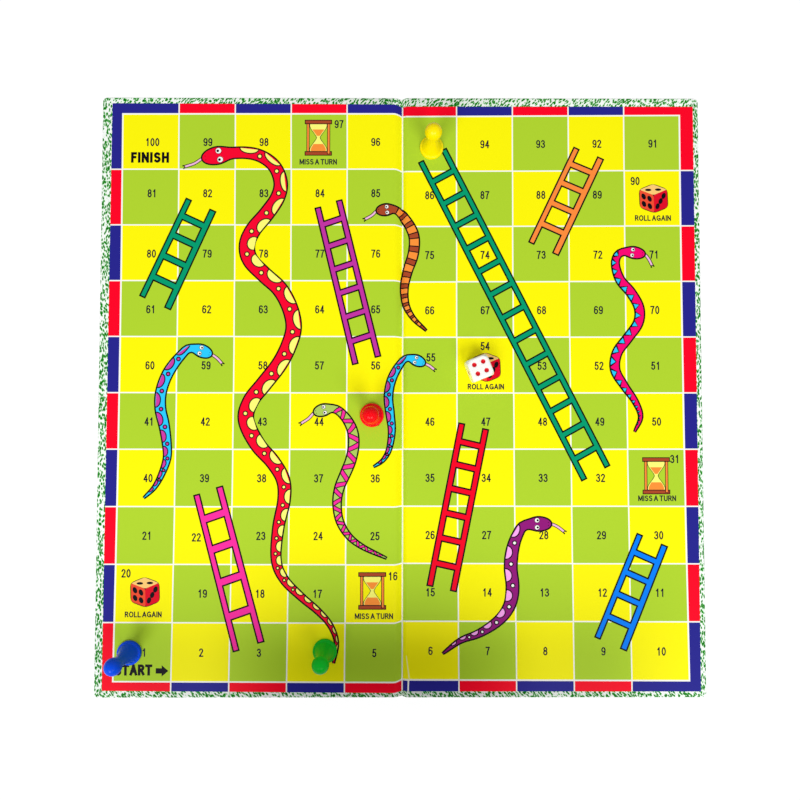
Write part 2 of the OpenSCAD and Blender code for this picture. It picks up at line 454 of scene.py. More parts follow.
def bow(x, y, across, up, start, end, steps=8):
    """Part of an oval about (x, y), from one angle to another in degrees, as points."""
    angle = np.radians(np.linspace(start, end, steps + 1))
    return np.stack([x + across * np.cos(angle), y + up * np.sin(angle)], -1)


def oval(x, y, across, up):
    """A whole oval as two half strokes."""
    return [bow(x, y, across, up, 90, 270), bow(x, y, across, up, 270, 450)]


def path(*points):
    """Straight strokes from point to point."""
    return np.array(points, float)


def joined(*parts):
    """Several stretches as one stroke."""
    return np.vstack(parts)


def unit(way):
    """The same direction, one millimetre long."""
    return way / np.linalg.norm(way)


def sideways(points):
    """At each point of a path, the unit vector to its left, longer at a corner so that the width holds."""
    steps = np.diff(points, axis=0)
    steps = steps / np.maximum(np.linalg.norm(steps, axis=1), 1e-9)[:, None]
    left = np.stack([-steps[:, 1], steps[:, 0]], -1)
    both = np.vstack([left[:1], left]) + np.vstack([left, left[-1:]])
    return 2 * both / np.maximum(np.sum(both * both, axis=1), sharpest_turn)[:, None]


def stroke(points, width):
    """The outline of a pen stroke of this width, with square ends that reach half a width further."""
    longer = points.copy()
    longer[0] += unit(points[0] - points[1]) * width / 2
    longer[-1] += unit(points[-1] - points[-2]) * width / 2
    side = sideways(longer) * width / 2
    return np.vstack([longer + side, (longer - side)[::-1]])


print("a half oval has", len(bow(0, 0, 1, 1, 90, 270)), "points")

# %% Draw the figures and letters as strokes
narrow = 0.42
upright = path((0, 0), (0, 1))
six = [joined(bow(0.22, 0.77, 0.2, 0.23, 30, 180), bow(0.21, 0.3, 0.21, 0.3, 180, 360)),
       bow(0.21, 0.34, 0.21, 0.25, 0, 180)]
letters = {
    "0": oval(0.21, 0.5, 0.21, 0.5),
    "1": [path((0.25, 0), (0.25, 1)), path((0.09, 0.78), (0.23, 0.96))],
    "2": [joined(bow(0.2, 0.76, 0.2, 0.24, 170, -25), path((0.02, 0.02))), path((0, 0), (0.42, 0))],
    "3": [bow(0.2, 0.755, 0.19, 0.245, 160, -85), bow(0.2, 0.27, 0.22, 0.27, 85, -160)],
    "4": [path((0.31, 0), (0.31, 1)), path((0.3, 0.98), (0.01, 0.3)), path((0, 0.28), (0.43, 0.28))],
    "5": [path((0.08, 1), (0.38, 1)), path((0.08, 1), (0.04, 0.52)), bow(0.2, 0.32, 0.22, 0.32, 135, -155)],
    "6": six,
    "7": [path((0, 1), (0.42, 1)), path((0.4, 0.97), (0.22, 0.5), (0.14, 0))],
    "8": oval(0.21, 0.755, 0.18, 0.245) + oval(0.21, 0.27, 0.21, 0.27),
    "9": [np.array((narrow, 1)) - part for part in six],
    "A": [path((0, 0), (0.28, 1)), path((0.28, 1), (0.56, 0)), path((0.1, 0.32), (0.46, 0.32))],
    "F": [upright, path((0, 1), (0.32, 1)), path((0, 0.53), (0.27, 0.53))],
    "G": [bow(0.3, 0.5, 0.3, 0.5, 50, 320, 14), path((0.34, 0.42), (0.58, 0.42)),
          path((0.58, 0.42), (0.58, 0.06))],
    "H": [upright, path((0.46, 0), (0.46, 1)), path((0, 0.52), (0.46, 0.52))],
    "I": [upright],
    "L": [upright, path((0, 0), (0.38, 0))],
    "M": [upright, path((0.02, 1), (0.31, 0.12)), path((0.31, 0.12), (0.6, 1)), path((0.62, 1), (0.62, 0))],
    "N": [upright, path((0.01, 0.98), (0.47, 0.02)), path((0.48, 0), (0.48, 1))],
    "O": oval(0.31, 0.5, 0.31, 0.5),
    "R": [upright, joined(path((0, 1)), bow(0.24, 0.76, 0.2, 0.24, 90, -90), path((0, 0.52))),
          path((0.22, 0.5), (0.46, 0.02))],
    "S": [joined(bow(0.22, 0.76, 0.2, 0.24, 40, 270), bow(0.22, 0.26, 0.22, 0.26, 90, -140)[1:])],
    "T": [path((0, 1), (0.5, 1)), path((0.25, 0), (0.25, 0.99))],
    "U": [joined(path((0, 1)), bow(0.24, 0.26, 0.24, 0.26, 180, 360), path((0.48, 1)))],
}


def write(word, spot, height, pen, ink, gap, stretch=1.0):
    """Writes a word centred on a point of the sheet. Height and pen width are in millimetres, the gap
    between letters is a share of the height, and stretch widens the letters. A blank is two gaps."""
    inner = height - pen
    right = 0.0
    strokes = []
    for letter in word:
        if letter == " ":
            right += 2 * gap * height
            continue
        parts = [part * (stretch, 1) for part in letters[letter]]
        wide = narrow * stretch if letter.isdigit() else max(float(part[:, 0].max()) for part in parts)
        strokes += [part * inner + (right, 0) for part in parts]
        right += wide * inner + pen + gap * height
    shift = spot - np.array([(right - pen - gap * height) / 2, inner / 2])
    for part in strokes:
        print_ink(ink, stroke(part + shift, pen))


print(sorted(letters))

# %% Number the squares
number_height = 4.5
number_pen = 0.68
number_gap = 0.085
number_across = (0.53, 0.514, 0.514, 0.514, 0.514, 0.5, 0.505, 0.505, 0.515, 0.52)
number_up = (0.495, 0.5, 0.496, 0.496, 0.489, 0.485, 0.485, 0.485, 0.567, 0.49)
moved_numbers = {97: (3.87, 9.82), 90: (9.17, 8.82), 55: (5.51, 5.66), 54: (6.47, 5.86), 31: (9.8, 3.86),
                 20: (0.18, 1.87), 16: (4.84, 1.83), 22: (1.4, 2.496)}

for row in range(squares):
    for column in range(squares):
        number = squares * row + (column + 1 if row % 2 == 0 else squares - column)
        usual = lay_square(column + number_across[column], row + number_up[row])
        spot = lay(*moved_numbers[number]) if number in moved_numbers else usual
        write(str(number), spot, number_height, number_pen, "number_navy", number_gap)
print(len(drawing), "outlines so far")

# %% Write the words
title_height = 5.9
title_pen = 1.42
caption_height = 3.1
caption_pen = 0.58
caption_gap = 0.08
arrow = np.array([(0, 1.4), (3.2, 1.4), (3.2, 3.0), (6.8, 0), (3.2, -3.0), (3.2, -1.4), (0, -1.4)])
captions = {"ROLL AGAIN": (1.2, (9.48, 8.15), (6.48, 5.14), (0.49, 1.16)),
            "MISS A TURN": (1.24, (3.5, 9.14), (9.48, 3.17), (4.51, 1.14))}

write("FINISH", lay(0.495, 9.22), title_height, title_pen, "line_black", 0.1, 1.24)
write("START", lay(0.335, 0.205), title_height, title_pen, "line_black", 0.05, 1.08)
print_ink("line_black", lay(0.72, 0.19) + arrow)
for words, (stretch, *spots) in captions.items():
    for spot in spots:
        write(words, lay(*spot), caption_height, caption_pen, "number_navy", caption_gap, stretch)
print(len(drawing), "outlines with the words")

# %% [markdown]
# ## Ladders
# A ladder is two rails and a few rungs in one colour with a black line round the whole. Printing all the
# bars first in black, a line wider, and then all of them again in colour leaves no line where a rung
# meets a rail. The rungs lie a little further apart towards the foot.

# %% Print the ladders
ink_line = 0.85
rung_growth = 0.22
# Each has its colour, the head and foot of its left and right rail, the number of rungs, how far down
# the first and last rung lie, and the widths of both rails and a rung.
ladders = [
    ("ladder_teal", (1.19, 8.45), (0.4, 6.74), (1.62, 8.25), (0.85, 6.53),
     4, 0.161, 0.794, (2.15, 2.55, 2.6)),
    ("ladder_magenta", (3.5, 8.3), (4.17, 5.55), (3.88, 8.43), (4.57, 5.68),
     6, 0.107, 0.863, (2.15, 2.15, 2.3)),
    ("ladder_teal", (5.345, 9.17), (8.195, 3.51), (5.755, 9.39), (8.605, 3.74),
     13, 0.064, 0.94, (2.05, 2.05, 2.3)),
    ("ladder_orange", (8.12, 9.4), (7.31, 7.72), (8.55, 9.22), (7.74, 7.52),
     4, 0.154, 0.795, (2.15, 2.55, 2.5)),
    ("ladder_pink", (1.4, 3.22), (2.11, 0.55), (1.8, 3.36), (2.54, 0.7),
     4, 0.157, 0.787, (2.2, 2.45, 3.4)),
    ("ladder_red", (6.05, 4.47), (5.49, 1.65), (6.47, 4.37), (5.9, 1.56),
     6, 0.105, 0.862, (2.25, 2.25, 2.4)),
    ("ladder_blue", (9.16, 2.52), (8.41, 0.75), (9.59, 2.33), (8.86, 0.55),
     4, 0.159, 0.789, (2.15, 2.55, 2.4)),
]


def bar_between(start, end, width):
    """A bar's two points and width. The points are drawn in, because a stroke reaches half a width on."""
    pull_in = unit(end - start) * width / 2
    return start + pull_in, end - pull_in, width


for colour, left_head, left_foot, right_head, right_foot, rungs, first, last, widths in ladders:
    rails = [(lay(*left_head), lay(*left_foot)), (lay(*right_head), lay(*right_foot))]
    bars = [bar_between(head, foot, width) for (head, foot), width in zip(rails, widths)]
    for share in first + (last - first) * np.linspace(0, 1, rungs) ** (1 + rung_growth / rungs):
        bars.append(bar_between(*[head + (foot - head) * share for head, foot in rails], widths[2]))
    for ink, more in lined(colour, 2 * ink_line):
        for start, end, width in bars:
            print_ink(ink, stroke(path(start, end), width + more))
print(len(ladders), "ladders")

# %% [markdown]
# ## Snakes
# A snake is a smooth line through a few points, with a width that swells behind the head and runs out in
# the tail. Its marks are drawn in the snake's own coordinates: how far along the body, and how far to the
# side from -1 to 1. Carried to the sheet, they bend with the body and never leave it.

# %% A body along a line
slim_neck = 0.72
swell_over = 5
tail_end = 0.03
tail_power = 0.75
line_step = 1.6


def smooth_line(points, spacing=line_step):
    """A curve through all the points (Catmull-Rom: at each point it heads along the line between that
    point's two neighbours), sampled about every spacing millimetres."""
    ends = np.vstack([2 * points[0] - points[1], points, 2 * points[-1] - points[-2]])
    parts = []
    for a, b, c, d in zip(ends, ends[1:], ends[2:], ends[3:]):
        steps = max(2, int(np.linalg.norm(c - b) / spacing))
        t = np.linspace(0, 1, steps, endpoint=False)[:, None]
        square = 2 * a - 5 * b + 4 * c - d
        cube = 3 * b - a - 3 * c + d
        parts.append(0.5 * (2 * b + (c - a) * t + square * t**2 + cube * t**3))
    return np.vstack(parts + [points[-1:]])


class Body:
    """A snake along a centre line that starts at the snout. at(s, w) is the point s millimetres from the
    snout and w half widths to the left of the line. The head ends at the route's second point."""

    def __init__(self, route, half_width, head_half, tail_share=0.45):
        stops = lay(*np.array(route, float).T)
        self.line = smooth_line(stops)
        step = np.linalg.norm(np.diff(self.line, axis=0), axis=1)
        self.far = np.concatenate([[0], np.cumsum(step)])
        self.length = self.far[-1]
        self.side = sideways(self.line)
        self.head = float(np.linalg.norm(stops[1] - stops[0]))
        self.head_half = head_half
        self.half = half_width
        self.tail_share = tail_share

    def half_at(self, s):
        """Half the width s millimetres from the snout. The head's front half is half an oval. From
        there the width eases into the body's, which is slim at the neck, swells over the next fifth, and
        narrows to the tail as the three-quarter power of what is left."""
        s = np.asarray(s, float)
        left = np.clip((self.length - s) / (self.length * self.tail_share), 0, 1)
        swell = slim_neck + (1 - slim_neck) * ease(swell_over * (s - self.head) / self.length)
        body = self.half * swell * (tail_end + (1 - tail_end) * left**tail_power)
        t = np.clip(s / self.head, 0, 1)
        oval_front = self.head_half * np.sqrt(1 - (1 - np.minimum(2 * t, 1)) ** 2)
        share = ease(2 * t - 1)
        return oval_front * (1 - share) + body * share

    def at(self, s, w):
        """Points of the sheet for places on the body."""
        s = np.asarray(s, float)
        centre, left = [np.stack([np.interp(s, self.far, values[:, k]) for k in (0, 1)], -1)
                        for values in (self.line, self.side)]
        return centre + left * (np.asarray(w, float) * self.half_at(s))[..., None]

    def outline(self, wider):
        """The outline from the tail up the right side, round the snout and down the left side, moved
        outwards by wider millimetres square to the line from each point's neighbour to the next."""
        head = self.head * np.linspace(0, 1, 16) ** 2
        s = np.concatenate([head, self.far[self.far > self.head + line_step / 2]])
        around = np.vstack([self.at(s[::-1], -1), self.at(s[1:], 1)])
        along = np.roll(around, -1, axis=0) - np.roll(around, 1, axis=0)
        along = along / np.maximum(np.linalg.norm(along, axis=1), 1e-9)[:, None]
        return around + wider * np.stack([-along[:, 1], along[:, 0]], -1)


def circle(centre, radius, steps=20):
    """A round outline."""
    angle = np.linspace(0, 2 * np.pi, steps, endpoint=False)
    return np.asarray(centre) + radius * np.stack([np.cos(angle), np.sin(angle)], -1)


print("a body narrows over the last part of its length, as the power", tail_power, "of what is left")

# %% Marks in the snake's own coordinates
mark_line = 0.62
marks_shrink_from = 0.55
marks_shrink_rate = 1.6
marks_smallest = 0.35
spots_end = 0.85
tooth_line = 1.6 * mark_line
tooth_inset = 0.28
tooth_foot = 0.97


def edge_marks(body, oval_ink, spot_ink, side, first, spacing, length, depth, spot_place, spot_radius):
    """Half ovals along one edge, and a small round spot in each gap. A half oval runs length millimetres
    along the edge and dips in by depth half widths. A spot lies spot_place half widths from the middle.
    Both shrink over the tail."""
    s = body.head + first
    turn = np.linspace(0, np.pi, 12)
    while s < body.length - length:
        past = max(0, s / body.length - marks_shrink_from)
        size = max(marks_smallest, 1 - marks_shrink_rate * past)
        mid = s + length * size / 2
        spot = body.at(mid + spacing * size / 2, spot_place)
        for ink, round_ink, more in (("line_black", "line_black", mark_line), (oval_ink, spot_ink, 0.0)):
            reach = length * size / 2 + more
            across = depth + more / body.half_at(s)
            print_ink(ink, body.at(mid - reach * np.cos(turn), side * (1 - across * np.sin(turn))))
            if s < body.length * spots_end:
                print_ink(round_ink, circle(spot, spot_radius * size + more, 14))
        s += spacing * size


def bands(body, ink, first, spacing, width, lean):
    """Bands right across. lean is how far the left end lies ahead of the right end; it swaps from band
    to band, which gives a zigzag."""
    s = body.head + first
    way = 1
    w = np.linspace(-1, 1, 5)
    while s < body.length - 0.6 * spacing:
        size = max(0.5, body.half_at(s) / body.half)
        for colour, more in lined(ink, mark_line):
            front = s + way * lean * size * w / 2 - more
            back = front + width * size + 2 * more
            print_ink(colour, np.vstack([body.at(front, w), body.at(back[::-1], w[::-1])]))
        s += spacing * size
        way = -way


def teeth(body, ink, side, first, spacing, length, depth):
    """Triangles with their foot on one edge, each a black one with a smaller one in ink inside."""
    s = body.head + first
    inner = (ink, tooth_line, tooth_foot, depth - tooth_inset)
    while s < body.length - length:
        size = max(0.4, body.half_at(s) / body.half)
        for colour, gap, foot, reach in (("line_black", 0, 1, depth), inner):
            along = np.linspace(s + gap, s + length * size - gap, 5)
            tip = body.at(s + length * size / 2, side * (1 - reach))
            print_ink(colour, np.vstack([body.at(along, side * foot), tip]))
        s += spacing * size


print("marks: edge ovals with spots, bands and teeth")

# %% Print one snake's skin and face
fork_length = 1.5
fork_pen = 0.75
tongue_pen = 1.05
eye_share = 0.34
eye_line = 0.24
nostril = 0.24


def turned_left(way):
    """A direction turned by a quarter to the left."""
    return np.array([-way[1], way[0]])


def print_snake(body, ink, tongue_tip):
    """The tongue first, a line with a short fork, then the body over it, two eyes and two nostrils."""
    snout = body.line[0]
    tip = lay(*tongue_tip)
    bend = (snout + tip) / 2 + 0.06 * turned_left(tip - snout)
    tongue = smooth_line(np.array([body.at(0.2 * body.head, 0), snout, bend, tip]), 1.0)
    ahead = unit(tongue[-1] - tongue[-3])
    for way in (-1, 1):
        prong = tip + fork_length * ahead + way * fork_pen * turned_left(ahead)
        print_ink("line_black", stroke(path(tip - ahead, prong), fork_pen))
    for colour, more in lined("tongue", ink_line):
        print_ink(colour, stroke(tongue, tongue_pen + more))
    for colour, more in lined(ink, ink_line):
        print_ink(colour, body.outline(more))
    ahead = (snout - body.at(0.5 * body.head, 0)) / (0.5 * body.head)
    for way in (-1, 1):
        eye = body.at(0.55 * body.head, 0.56 * way)
        size = eye_share * body.head_half
        print_ink("line_black", circle(eye, size + eye_line))
        print_ink("bare_paper", circle(eye, size))
        print_ink("line_black", circle(eye + 0.25 * size * ahead, 0.5 * size, 12))
        print_ink("line_black", circle(body.at(0.1 * body.head, 0.4 * way), nostril, 8))


print("drawn from tongue to tail, so that the body covers the root of the tongue")

# %% Print the snakes
# Each has its ink, the tongue's tip, the route from snout to tail in squares, the half widths of body and
# head with the tail's share of the length, and its marks with their own numbers.
purple = ("snake_purple", "snake_purple")
snakes = [
    ("snake_red", (1.14, 9.06), [
        (1.43, 9.2), (1.98, 9.3), (2.4, 9.27), (2.7, 9.08), (2.83, 8.78), (2.78, 8.5), (2.58, 8.2),
        (2.35, 7.92), (2.24, 7.65), (2.3, 7.38), (2.56, 7.11), (2.83, 6.86), (3.01, 6.53), (3.08, 6.19),
        (3.0, 5.87), (2.83, 5.53), (2.56, 5.18), (2.33, 4.88), (2.25, 4.55), (2.45, 4.13), (2.73, 3.81),
        (2.91, 3.5), (2.93, 3.15), (2.83, 2.65), (2.8, 2.11), (2.94, 1.77), (3.24, 1.47), (3.54, 1.22),
        (3.75, 0.98), (3.86, 0.68), (3.81, 0.33)],
     (3.75, 4.5, 0.4), edge_marks, ("cream", "cream", 1, 4, 13.0, 9.0, 0.95, -0.1, 0.9)),
    ("snake_sky", (1.8, 5.56), [
        (1.63, 5.7), (1.27, 5.81), (1.08, 5.67), (0.87, 5.38), (0.75, 5.05), (0.74, 4.75), (0.81, 4.45),
        (0.86, 4.14), (0.87, 3.88), (0.78, 3.6), (0.65, 3.36), (0.47, 3.18)],
     (2.5, 3.1), edge_marks, (*purple, -1, 1, 10.0, 6.8, 0.95, 0.12, 0.7)),
    ("snake_brown", (4.36, 8.12), [
        (4.55, 8.26), (4.88, 8.28), (5.07, 8.13), (5.21, 7.84), (5.2, 7.52), (5.1, 7.21), (5.04, 6.9),
        (5.07, 6.6), (5.2, 6.36), (5.43, 6.14)],
     (2.35, 2.9, 0.5), bands, ("snake_orange", 1.5, 7.4, 3.7, 0)),
    ("snake_sky", (5.55, 5.46), [
        (5.4, 5.55), (5.1, 5.65), (4.94, 5.5), (4.81, 5.24), (4.76, 4.95), (4.79, 4.66), (4.82, 4.35),
        (4.77, 4.03), (4.66, 3.84), (4.5, 3.73)],
     (1.9, 2.6), edge_marks, (*purple, -1, 1, 8.0, 5.2, 0.95, 0.12, 0.55)),
    ("snake_lime", (3.24, 4.5), [
        (3.45, 4.68), (3.78, 4.75), (3.98, 4.62), (4.12, 4.38), (4.15, 4.12), (4.1, 3.85), (4.0, 3.6),
        (3.9, 3.36), (3.86, 3.09), (3.91, 2.78), (4.07, 2.52), (4.32, 2.33), (4.73, 2.14)],
     (2.4, 2.9, 0.55), bands, ("snake_pink", 2.0, 5.4, 2.2, 3.0)),
    ("snake_rose", (9.44, 7.32), [
        (9.32, 7.5), (8.93, 7.54), (8.8, 7.37), (8.87, 7.06), (9.07, 6.81), (9.21, 6.54), (9.19, 6.27),
        (9.0, 6.0), (8.81, 5.74), (8.77, 5.44), (8.93, 5.15), (9.12, 4.87), (9.21, 4.6), (9.1, 4.34)],
     (2.2, 2.9, 0.32), teeth, ("snake_sky", -1, 1.5, 5.9, 5.4, 1.45)),
    ("snake_plum", (7.82, 2.6), [
        (7.61, 2.72), (7.17, 2.7), (7.02, 2.52), (6.93, 2.25), (6.9, 1.95), (6.93, 1.64), (6.9, 1.37),
        (6.79, 1.15), (6.59, 0.96), (6.32, 0.8), (6.01, 0.68), (5.71, 0.46)],
     (3.0, 3.5, 0.5), edge_marks, ("petal", "bare_paper", -1, 3, 11.6, 6.3, 1.0, 0.05, 0.8)),
]
for ink, tongue_tip, route, sizes, marks, mark_sizes in snakes:
    body = Body(route, *sizes)
    print_snake(body, ink, tongue_tip)
    marks(body, *mark_sizes)
print(len(drawing), "outlines with the snakes")

# %% [markdown]
# ## Small pictures
# A die marks the squares where a player rolls again, and an hourglass the squares where a turn is lost.
# Both are built from their edges: the die's three faces are each two edge directions, so a round spot
# pressed through those directions becomes the right oval.

# %% Print the dice
die_print = 8.6
die_near = (0.2, 1.7)
die_edges = np.array([(0.86, 0.36), (-0.9, 0.34), (0.04, -1.14)]) * die_print
die_spot = 0.165
die_line = 1.05


def bend_between(a, corner, b, steps=5):
    """A soft corner: a curve that leaves a towards the corner and arrives at b from it."""
    t = np.linspace(0, 1, steps)[:, None]
    a, corner, b = np.array(a), np.array(corner), np.array(b)
    return a * (1 - t) ** 2 + 2 * corner * t * (1 - t) + b * t**2


def rounded(points, radius):
    """A closed outline with its corners rounded: each corner becomes a short curve that starts and ends
    radius millimetres away from it."""
    points = np.asarray(points, float)
    corners = zip(np.roll(points, 1, 0), points, np.roll(points, -1, 0))
    return np.vstack([bend_between(corner + unit(before - corner) * radius, corner,
                                   corner + unit(after - corner) * radius, 4)
                      for before, corner, after in corners])


def print_die(u, v):
    """A die seen corner on. The edges run right, left and down from its near corner."""
    near = lay(u, v) + die_near
    right, left, down = die_edges
    shell = near + np.array([right, right + left, left, left + down, down, right + down])
    middle = np.mean(shell, axis=0)
    print_ink("line_black", rounded(middle + (shell - middle) * die_line, 2.2))
    faces = [("die_peach", right, left, [(0.3, 0.66), (0.68, 0.32)]),
             ("die_orange", left, down, [(0.3, 0.3), (0.72, 0.3), (0.3, 0.72), (0.72, 0.72)]),
             ("die_red", right, down, [(0.26, 0.72), (0.5, 0.5), (0.74, 0.28)])]
    for ink, one, two, spots in faces:
        print_ink(ink, rounded([near, near + one, near + one + two, near + two], 1.1))
        for spot in spots:
            print_ink("line_black", near + circle(spot, die_spot, 14) @ np.array([one, two]))


for place in ((9.49, 8.51), (6.48, 5.49), (0.51, 1.55)):
    print_die(*place)
print(len(drawing), "outlines with the dice")

# %% Print the hourglasses
glass_height = 19.4
glass_inner = glass_height / 2 - 1.3
plate_place = glass_height / 2 - 0.9
waist = 0.8
bulge = 4.4
glass_line = 0.35
sand_gap = 0.45
sand = ((-1.0, -0.42), (0.12, 0.55))
post_place = 5.7
plate_reach = 6.3


def glass_part(low, high, wider, steps):
    """The part of the glass between two heights from -1 to 1. Its half width is a narrow waist that
    swells as a power of a sine and draws in again at the plates."""
    y = np.linspace(low, high, steps)
    half = waist + bulge * np.abs(np.sin(y * np.pi / 2)) ** 1.4 * (1 - 0.25 * np.abs(y) ** 6) + wider
    right = np.stack([half, y * glass_inner], -1)
    return np.vstack([right, right[::-1] * (-1, 1)])


def print_hourglass(u, v):
    """The glass, its sand, and the frame of two posts and two plates."""
    middle = lay(u, v)
    for ink, more in lined("cream", glass_line):
        print_ink(ink, middle + glass_part(-1, 1, more, 25))
    for low, high in sand:
        print_ink("snake_orange", middle + glass_part(low, high, -sand_gap, 10))
    for way in (-1, 1):
        post = path((way * post_place, -glass_inner), (way * post_place, glass_inner))
        plate = path((-plate_reach, way * plate_place), (plate_reach, way * plate_place))
        for bar, colour, width, line in ((post, "ladder_orange", 1.0, 0.7), (plate, "snake_brown", 1.6, 0.9)):
            for ink, more in lined(colour, line):
                print_ink(ink, stroke(middle + bar, width + more))


for place in ((3.5, 9.575), (9.47, 3.565), (4.48, 1.575)):
    print_hourglass(*place)
print(len(drawing), "outlines in all")

# %% [markdown]
# ## Wear and a painted highlight in the fold
# Where the board has been bent the varnish is cracked white, and near the bottom a second crease has formed
# beside the first. The pale line along that crease is partly its cracked varnish and partly a painted
# highlight along its ridge.
# It runs on in paper white through the border. Each is one more outline, in a paler ink.

# %% Print the wear and the painted highlight
# Both lines paint the crease's cracked varnish together with a painted highlight along its ridge.
crease = [(5.068, 0.42), (5.082, 0.42), (5.142, 0.0), (5.118, 0.0)]
border_crack_and_sheen = [(5.1, -0.02), (5.125, -0.02), (5.12, -1), (5.095, -1)]
for ink, outline in (("crease_sheen_and_wear", crease), ("bare_paper", border_crack_and_sheen)):
    print_ink(ink, lay(*np.array(outline).T))
print("a crease", round((crease[0][1] - crease[2][1]) * side_of_square, 1), "mm long")

# %% [markdown]
# ## From drawing to mesh
# A constrained Delaunay triangulation takes all outlines at once, splits them where they cross, and fills
# the plane with triangles that never cross an outline. It also says which outlines each triangle lies
# in, and the last printed of those is the ink that shows.

# %% Triangulate the drawing
left_cuts = np.linspace(fold_from, valley_x, 15)
right_cuts = np.linspace(valley_x, fold_to, 11)
still = 12
still_x = left_cuts[still]
valley_cuts = np.unique(np.concatenate([left_cuts, right_cuts, [-board_end, board_end]]))
outline_x = np.concatenate([[left_corners[0, 0]], valley_cuts, [right_corners[3, 0]]])
outer = np.vstack([np.stack([outline_x, sheet_edge_y(outline_x, 0)], -1),
                   np.stack([outline_x, sheet_edge_y(outline_x, 1)], -1)[::-1]])
outer[0], outer[-1] = left_corners[0], left_corners[1]
half_way = len(outline_x)
outer[half_way - 1], outer[half_way] = right_corners[2], right_corners[3]

points, edges, faces = [], [], []
for outline in [outer] + [shape for ink, shape in drawing]:
    faces.append(list(range(len(points), len(points) + len(outline))))
    points += [Vector((float(x), float(y))) for x, y in outline]
for x in valley_cuts:
    edges.append((len(points), len(points) + 1))
    points += [Vector((float(x), float(sheet_edge_y(x, side)))) for side in (0, 1)]
places, _, triangles, _, _, inside = delaunay_2d_cdt(points, edges, faces, 0, 1e-4, True)
flat = np.array([tuple(place) for place in places])
kept = [k for k, shapes in enumerate(inside) if 0 in shapes]
corners = np.array([triangles[k] for k in kept])
ink_names = list(inks)
drawn = ["bare_paper"] + [ink for ink, shape in drawing]
ink_of = np.array([ink_names.index(drawn[max(inside[k])]) for k in kept])
print(len(points), "points in,", len(corners), "triangles out")

# %% [markdown]
# ## The sheet in four pieces
# Away from the fold the sheet is flat. In the fold it follows the two boards' edges down: a round
# shoulder on each side that gets steeper towards the spine. Each half rides on its board.

# %% Raise the sheet
print_grain = 900
print_relief = 0.012 * mm
far_out = 1000


def dip(x):
    """The height at x of the printed surface. It is pressed down in the fold: one quarter of a cosine
    wave on each side of the lowest line."""
    from_left = (x - fold_from) / (valley_x - fold_from)
    from_right = (fold_to - x) / (fold_to - valley_x)
    share = np.where(x < valley_x, from_left, from_right)
    return sheet_top - (sheet_top - valley_floor) * (1 - np.cos(np.clip(share, 0, 1) * np.pi / 2))


def thicken(piece, thickness, edge_slot=0):
    """Gives paper its thickness, under the surface that is there. The new faces take the finish that
    comes edge_slot places after the surface's own."""
    solid = piece.modifiers.new("paper", "SOLIDIFY")
    solid.thickness = thickness * mm
    solid.offset = -1
    solid.material_offset = edge_slot
    solid.material_offset_rim = edge_slot


ink_finishes = [grained_finish("ink_" + name, from_screen(*colour), 0.4, print_grain, print_relief, 0.06)
                for name, colour in inks.items()]
sheet_edge_finish = grained_finish("sheet_edge", from_screen(240, 238, 230), 0.8, 2500, 0.02 * mm)
middle_x = flat[corners].mean(axis=1)[:, 0]
ranges = {"printed_left": (-far_out, -board_end), "printed_slope_left": (-board_end, still_x),
          "printed_slope_right": (still_x, board_end), "printed_right": (board_end, far_out)}
sheets = {}
for name, (low, high) in ranges.items():
    within = (middle_x > low) & (middle_x < high)
    used, renumbered = np.unique(corners[within], return_inverse=True)
    solid = np.column_stack([flat[used], dip(flat[used, 0])])
    piece = into_blender(name, solid, renumbered.reshape(-1, 3))
    for finish in ink_finishes + [sheet_edge_finish]:
        piece.data.materials.append(finish)
    piece.data.polygons.foreach_set("material_index", ink_of[within])
    thicken(piece, paper, len(inks))
    sheets[name] = piece
    print(name, len(piece.data.polygons), "triangles")

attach(sheets["printed_left"], "left_panel")
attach(sheets["printed_right"], "right_panel")
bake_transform(sheets["printed_slope_left"])
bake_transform(sheets["printed_slope_right"])
for name, node in (("printed_left", "left_sheet"), ("printed_slope_left", "crease_left"),
                   ("printed_slope_right", "crease_right"), ("printed_right", "right_sheet")):
    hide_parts(node)

# %% [markdown]
# ## Cover paper
# Each half is wrapped like a book cover: the paper lies on the back, goes round three edges and is
# turned in over the front, where the printed sheet hides all but a rim. Each bend is a narrow quarter
# circle. One profile, carried round the outline, makes all of it, and Solidify gives it a thickness.

# %% Wrap the halves
half_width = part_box("right_cover")[1].x / mm
half_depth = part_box("right_cover")[1].y / mm
cover_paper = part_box("spine_cover")[1].z / mm / 2
corner_radius = 2.5
sharpest_corner = 0.25
turn_in = 14
arris = 0.5
flat_from = 1.3
past_bend = 0.1
bend_steps = 5
end_slants_over = 0.8


def edge_profile(top):
    """The paper's way over an edge, as (inset from the edge, height): in on the back, round a quarter
    circle, up the edge, round another one and in over the front at the height top."""
    bend = min(arris, top / 2)
    turn = np.radians(np.linspace(0, 90, bend_steps + 1))
    lower = np.stack([bend - bend * np.sin(turn), bend - bend * np.cos(turn)], -1)
    upper = (lower * (1, -1) + (0, top))[::-1]
    flat_part = np.array([turn_in, flat_from, bend + past_bend])
    back = np.stack([flat_part, 0 * flat_part], -1)
    return np.vstack([back, lower, upper, (back + (0, top))[::-1]])


def paper_end(height, shoulder):
    """How far from the middle a half's paper ends: at the hinge on the back, and where the front starts
    to dip into the fold above; in between it goes straight from one to the other."""
    share = np.clip((height - cover_paper) / end_slants_over, 0, 1)
    return hinge_x + (shoulder - hinge_x) * share


def between_rings(rings, around, closed=False):
    """Four-sided faces between rows of points numbered one ring after another, each with around points.
    In closed rings the last point is joined to the first."""
    number = np.arange(rings * around).reshape(rings, around)
    beside = np.roll(number, -1, axis=1)
    faces = np.stack([number[:-1], number[1:], beside[1:], beside[:-1]], -1)
    return (faces if closed else faces[:, :-1]).reshape(-1, 4).tolist()


